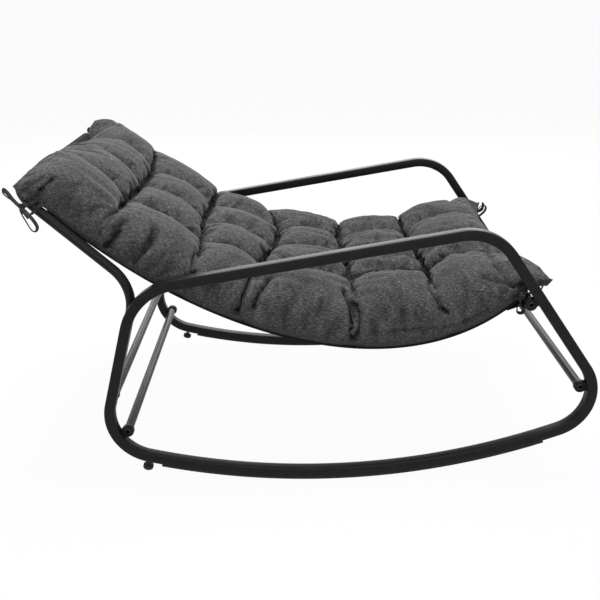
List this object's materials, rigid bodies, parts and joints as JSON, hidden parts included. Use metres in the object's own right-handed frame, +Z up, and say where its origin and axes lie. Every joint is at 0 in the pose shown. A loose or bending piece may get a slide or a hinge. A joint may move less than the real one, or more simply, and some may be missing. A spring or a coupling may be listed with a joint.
{
  "type": "rocking lounge chair",
  "caption": "Rocking lounge chair: bent square-tube side frames on curved rockers, bolted round cross bars, reclined back frame, hung sling and a tied-on tufted cushion",
  "frame": {"origin": "on the floor, midway between the two rockers, under their lowest point", "axes": "+X forwards as the sitter faces, +Y to the sitter's left, +Z up"},
  "size_m": [1.2063, 0.7058, 0.6947],
  "materials": {
    "frame_paint": "satin black powder coat",
    "bar_paint": "satin dark grey powder coat",
    "zinc_steel": "bright zinc plating",
    "dark_steel": "black oxide",
    "black_plastic": "fine grain",
    "grip_rubber": "matt",
    "sling_cloth": "coated plain weave",
    "cushion_cloth": "heather grey woven cloth",
    "tie_tape": "folded heather tape"
  },
  "bodies": {
    "frame": {"side_frame_right": "frame_paint", "side_frame_left": "frame_paint", "front_seat_bar": "bar_paint", "front_low_bar": "bar_paint", "rear_low_bar": "bar_paint", "bar_inserts": "zinc_steel", "bar_bolts": "dark_steel", "bar_washers": "zinc_steel", "back_frame": "frame_paint", "back_spreader": "bar_paint", "back_plugs": "black_plastic", "back_spacers": "black_plastic", "back_bolts": "dark_steel", "back_rivet_nuts": "zinc_steel", "grip_strip_right": "grip_rubber", "grip_strip_left": "grip_rubber", "strip_rivets": "black_plastic", "foot_nuts": "zinc_steel", "sling": "sling_cloth", "cushion": "cushion_cloth", "tie_back_right": "tie_tape", "tie_back_left": "tie_tape", "tie_front_right": "tie_tape", "tie_front_left": "tie_tape"},
    "stop_foot_right": {"stop_foot_right": "grip_rubber"},
    "stop_foot_left": {"stop_foot_left": "grip_rubber"}
  },
  "joints": [
    {"name": "right_foot_screw", "type": "slide", "parent": "frame", "child": "stop_foot_right", "axis": [-0.2334, 0, -0.9724], "range_m": [-0.006, 0.004]},
    {"name": "left_foot_screw", "type": "slide", "parent": "frame", "child": "stop_foot_left", "axis": [-0.2334, 0, -0.9724], "range_m": [-0.006, 0.004]}
  ]
}
